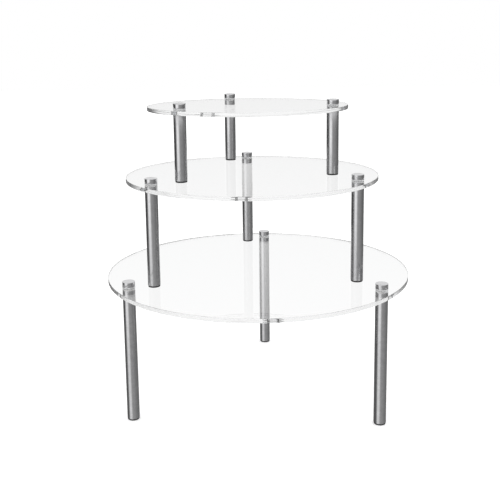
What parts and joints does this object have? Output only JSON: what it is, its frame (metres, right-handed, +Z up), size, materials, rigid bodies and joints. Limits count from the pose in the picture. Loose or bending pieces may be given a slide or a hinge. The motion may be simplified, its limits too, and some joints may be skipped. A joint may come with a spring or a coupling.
{
  "type": "tiered shelf riser",
  "caption": "Tiered display riser: clear round acrylic shelves of falling size, each on three brushed steel legs with screw caps, standing on one another.",
  "frame": {"origin": "on the floor, under the centre of the large shelf", "axes": "+Z up, +Y from the open front between the two front legs towards the back leg, +X to the right"},
  "size_m": [0.3048, 0.3048, 0.3077],
  "materials": {
    "acrylic": "polished",
    "clear_washer": "gloss",
    "brushed_tube": "satin",
    "cap_steel": "satin",
    "stud_metal": "satin",
    "insert_metal": "satin",
    "foot_rubber": "matte"
  },
  "bodies": {
    "large_riser": {"large_shelf": "acrylic", "large_inserts": "insert_metal", "large_under_washers": "clear_washer", "large_leg_left": "brushed_tube", "large_leg_right": "brushed_tube", "large_leg_back": "brushed_tube", "large_foot_left": "foot_rubber", "large_foot_right": "foot_rubber", "large_foot_back": "foot_rubber"},
    "middle_riser": {"middle_shelf": "acrylic", "middle_inserts": "insert_metal", "middle_under_washers": "clear_washer", "middle_leg_left": "brushed_tube", "middle_leg_right": "brushed_tube", "middle_leg_back": "brushed_tube", "middle_foot_left": "foot_rubber", "middle_foot_right": "foot_rubber", "middle_foot_back": "foot_rubber"},
    "small_riser": {"small_shelf": "acrylic", "small_inserts": "insert_metal", "small_under_washers": "clear_washer", "small_leg_left": "brushed_tube", "small_leg_right": "brushed_tube", "small_leg_back": "brushed_tube", "small_foot_left": "foot_rubber", "small_foot_right": "foot_rubber", "small_foot_back": "foot_rubber"},
    "large_washer_left_body": {"large_washer_left": "clear_washer"},
    "large_cap_left_body": {"large_cap_left": "cap_steel", "large_stud_left": "stud_metal"},
    "large_washer_right_body": {"large_washer_right": "clear_washer"},
    "large_cap_right_body": {"large_cap_right": "cap_steel", "large_stud_right": "stud_metal"},
    "large_washer_back_body": {"large_washer_back": "clear_washer"},
    "large_cap_back_body": {"large_cap_back": "cap_steel", "large_stud_back": "stud_metal"},
    "middle_washer_left_body": {"middle_washer_left": "clear_washer"},
    "middle_cap_left_body": {"middle_cap_left": "cap_steel", "middle_stud_left": "stud_metal"},
    "middle_washer_right_body": {"middle_washer_right": "clear_washer"},
    "middle_cap_right_body": {"middle_cap_right": "cap_steel", "middle_stud_right": "stud_metal"},
    "middle_washer_back_body": {"middle_washer_back": "clear_washer"},
    "middle_cap_back_body": {"middle_cap_back": "cap_steel", "middle_stud_back": "stud_metal"},
    "small_washer_left_body": {"small_washer_left": "clear_washer"},
    "small_cap_left_body": {"small_cap_left": "cap_steel", "small_stud_left": "stud_metal"},
    "small_washer_right_body": {"small_washer_right": "clear_washer"},
    "small_cap_right_body": {"small_cap_right": "cap_steel", "small_stud_right": "stud_metal"},
    "small_washer_back_body": {"small_washer_back": "clear_washer"},
    "small_cap_back_body": {"small_cap_back": "cap_steel", "small_stud_back": "stud_metal"}
  },
  "joints": [
    {"name": "middle_lift", "type": "slide", "parent": "large_riser", "child": "middle_riser", "axis": [0, 0, 1], "range_m": [0, 0.1]},
    {"name": "small_lift", "type": "slide", "parent": "middle_riser", "child": "small_riser", "axis": [0, 0, 1], "range_m": [0, 0.1]},
    {"name": "large_cap_left_turn", "type": "hinge", "parent": "large_riser", "child": "large_washer_left_body", "pos_m": [-0.12359, -0.06229, 0.1335], "axis": [0, 0, 1], "range_deg": [0, 2880]},
    {"name": "large_cap_left_rise", "type": "slide", "parent": "large_washer_left_body", "child": "large_cap_left_body", "axis": [0, 0, 1], "range_m": [0, 0.008]},
    {"name": "large_cap_right_turn", "type": "hinge", "parent": "large_riser", "child": "large_washer_right_body", "pos_m": [0.11574, -0.07588, 0.1335], "axis": [0, 0, 1], "range_deg": [0, 2880]},
    {"name": "large_cap_right_rise", "type": "slide", "parent": "large_washer_right_body", "child": "large_cap_right_body", "axis": [0, 0, 1], "range_m": [0, 0.008]},
    {"name": "large_cap_back_turn", "type": "hinge", "parent": "large_riser", "child": "large_washer_back_body", "pos_m": [0.00785, 0.13818, 0.1335], "axis": [0, 0, 1], "range_deg": [0, 2880]},
    {"name": "large_cap_back_rise", "type": "slide", "parent": "large_washer_back_body", "child": "large_cap_back_body", "axis": [0, 0, 1], "range_m": [0, 0.008]},
    {"name": "middle_cap_left_turn", "type": "hinge", "parent": "middle_riser", "child": "middle_washer_left_body", "pos_m": [-0.0995, -0.05896, 0.2325], "axis": [0, 0, 1], "range_deg": [0, 2880]},
    {"name": "middle_cap_left_rise", "type": "slide", "parent": "middle_washer_left_body", "child": "middle_cap_left_body", "axis": [0, 0, 1], "range_m": [0, 0.008]},
    {"name": "middle_cap_right_turn", "type": "hinge", "parent": "middle_riser", "child": "middle_washer_right_body", "pos_m": [0.09591, -0.04786, 0.2325], "axis": [0, 0, 1], "range_deg": [0, 2880]},
    {"name": "middle_cap_right_rise", "type": "slide", "parent": "middle_washer_right_body", "child": "middle_cap_right_body", "axis": [0, 0, 1], "range_m": [0, 0.008]},
    {"name": "middle_cap_back_turn", "type": "hinge", "parent": "middle_riser", "child": "middle_washer_back_body", "pos_m": [-0.01141, 0.11582, 0.2325], "axis": [0, 0, 1], "range_deg": [0, 2880]},
    {"name": "middle_cap_back_rise", "type": "slide", "parent": "middle_washer_back_body", "child": "middle_cap_back_body", "axis": [0, 0, 1], "range_m": [0, 0.008]},
    {"name": "small_cap_left_turn", "type": "hinge", "parent": "small_riser", "child": "small_washer_left_body", "pos_m": [-0.07208, -0.04718, 0.3015], "axis": [0, 0, 1], "range_deg": [0, 2880]},
    {"name": "small_cap_left_rise", "type": "slide", "parent": "small_washer_left_body", "child": "small_cap_left_body", "axis": [0, 0, 1], "range_m": [0, 0.008]},
    {"name": "small_cap_right_turn", "type": "hinge", "parent": "small_riser", "child": "small_washer_right_body", "pos_m": [0.0753, -0.01111, 0.3015], "axis": [0, 0, 1], "range_deg": [0, 2880]},
    {"name": "small_cap_right_rise", "type": "slide", "parent": "small_washer_right_body", "child": "small_cap_right_body", "axis": [0, 0, 1], "range_m": [0, 0.008]},
    {"name": "small_cap_back_turn", "type": "hinge", "parent": "small_riser", "child": "small_washer_back_body", "pos_m": [-0.02962, 0.09849, 0.3015], "axis": [0, 0, 1], "range_deg": [0, 2880]},
    {"name": "small_cap_back_rise", "type": "slide", "parent": "small_washer_back_body", "child": "small_cap_back_body", "axis": [0, 0, 1], "range_m": [0, 0.008]}
  ],
  "couplings": [
    {"joint": "large_cap_left_turn", "follows": "large_cap_left_rise", "rad_per_m": 6283.2},
    {"joint": "large_cap_right_turn", "follows": "large_cap_right_rise", "rad_per_m": 6283.2},
    {"joint": "large_cap_back_turn", "follows": "large_cap_back_rise", "rad_per_m": 6283.2},
    {"joint": "middle_cap_left_turn", "follows": "middle_cap_left_rise", "rad_per_m": 6283.2},
    {"joint": "middle_cap_right_turn", "follows": "middle_cap_right_rise", "rad_per_m": 6283.2},
    {"joint": "middle_cap_back_turn", "follows": "middle_cap_back_rise", "rad_per_m": 6283.2},
    {"joint": "small_cap_left_turn", "follows": "small_cap_left_rise", "rad_per_m": 6283.2},
    {"joint": "small_cap_right_turn", "follows": "small_cap_right_rise", "rad_per_m": 6283.2},
    {"joint": "small_cap_back_turn", "follows": "small_cap_back_rise", "rad_per_m": 6283.2}
  ]
}
